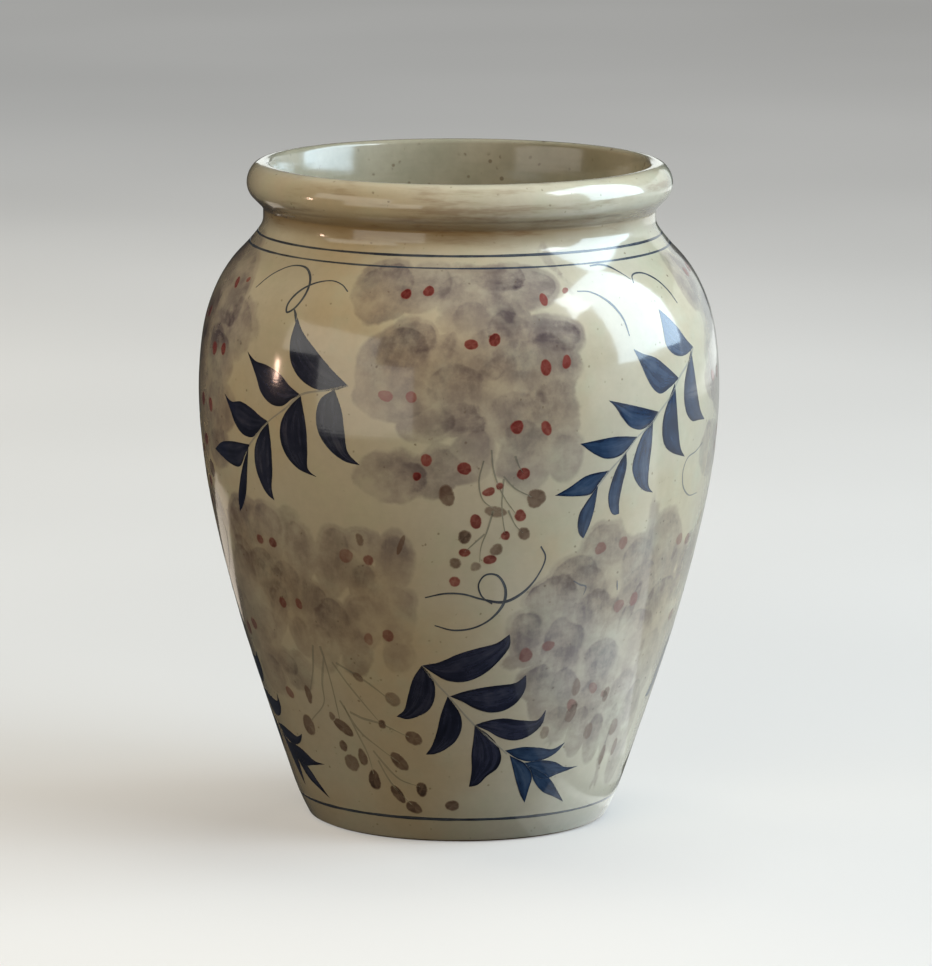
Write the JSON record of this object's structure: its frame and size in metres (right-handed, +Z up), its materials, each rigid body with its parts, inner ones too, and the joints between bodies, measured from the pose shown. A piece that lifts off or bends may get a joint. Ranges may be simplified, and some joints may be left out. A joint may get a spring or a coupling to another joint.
{
  "type": "vase",
  "caption": "Wide-mouthed glazed stoneware jar with a rolled rim, short neck, pear-shaped body, low foot ring, and hand-painted floral decoration.",
  "frame": {"origin": "centre of the foot ring, on the surface that the jar stands on", "axes": "+Z up along the jar's axis of rotation, from the foot to the rim; +X and +Y are any two perpendicular radial directions, with the decoration's middle blossom facing -Y"},
  "size_m": [0.197, 0.197, 0.25],
  "materials": {
    "bare_clay": "unglazed, matt and slightly rough",
    "outer_glaze": "glossy, cream with a green tinge and iron specks",
    "inner_glaze": "glossy, grey-green",
    "cobalt_paint": "glossy, dark blue underglaze pigment",
    "iron_red_paint": "glossy, brick-red pigment",
    "umber_paint": "glossy, thin grey-brown and grey-green pigment"
  },
  "bodies": {
    "root": {"foot_ring": "bare_clay", "body": "bare_clay", "neck_and_rim": "bare_clay", "inner_glaze": "inner_glaze", "outer_glaze": "outer_glaze", "foot_band": "cobalt_paint", "lower_neck_band": "cobalt_paint", "upper_neck_band": "cobalt_paint"}
  },
  "joints": []
}
